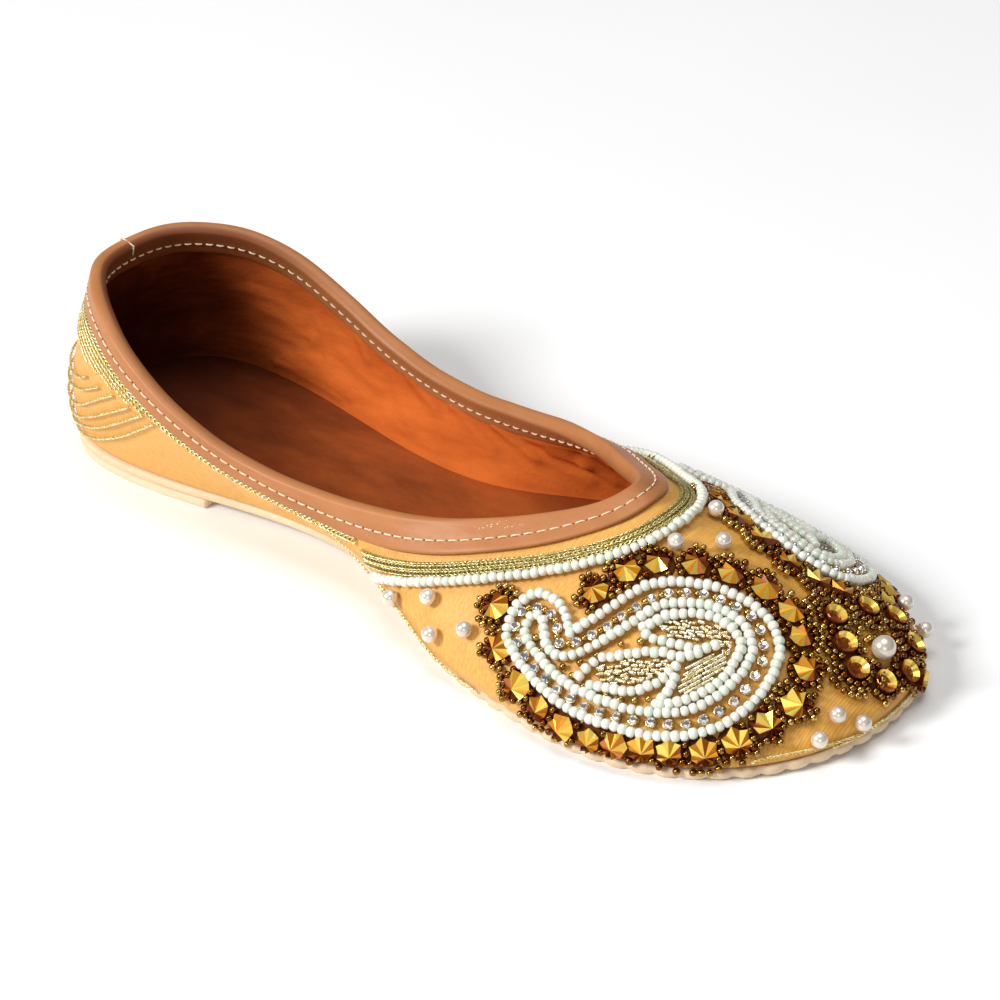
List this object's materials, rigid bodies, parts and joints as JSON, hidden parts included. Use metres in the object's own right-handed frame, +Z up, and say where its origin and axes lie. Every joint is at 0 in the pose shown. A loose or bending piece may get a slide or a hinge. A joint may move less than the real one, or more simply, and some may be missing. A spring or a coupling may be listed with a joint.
{
  "type": "mojari shoe",
  "caption": "Flat slip-on mojari with a low open collar, thin leather sole, rounded toe and a vamp covered in paisley beadwork.",
  "frame": {"origin": "middle of the shoe's box, on the plane that it stands on", "axes": "+X to the toe, +Y to the inner side of a right shoe, +Z up"},
  "size_m": [0.2434, 0.0942, 0.0496],
  "materials": {
    "silk": "orange-gold art silk with a fine slubbed weave",
    "sole_leather": "pale undyed cowhide with a whip-stitched edge",
    "lift_leather": "cream leather heel lift with a dyed edge",
    "insole_leather": "brown vegetable-tanned insole leather",
    "binding": "rose-tan sheepskin binding with a row of cream stitches",
    "zari": "gold zari thread, couched and chain stitched",
    "white_bead": "opaque white glass seed beads",
    "foil": "amber-gold pleated foil florets in bronze seed beads",
    "pearl": "cream imitation pearls"
  },
  "bodies": {
    "root": {"upper": "silk", "outsole": "sole_leather", "heel_lift": "lift_leather", "insole": "insole_leather", "collar_binding": "binding", "quarter_braid": "zari", "throat_braid": "zari", "throat_beads": "white_bead", "paisley_outer": "white_bead", "paisley_inner": "white_bead", "floret_border_outer": "foil", "floret_border_inner": "foil", "toe_flower": "foil", "toe_pearl": "pearl", "small_pearl_01": "pearl", "small_pearl_02": "pearl", "small_pearl_03": "pearl", "small_pearl_04": "pearl", "small_pearl_05": "pearl", "small_pearl_06": "pearl", "small_pearl_07": "pearl", "small_pearl_08": "pearl", "small_pearl_09": "pearl", "small_pearl_10": "pearl", "small_pearl_11": "pearl", "small_pearl_12": "pearl", "small_pearl_13": "pearl", "small_pearl_14": "pearl", "small_pearl_15": "pearl", "small_pearl_16": "pearl"}
  },
  "joints": []
}
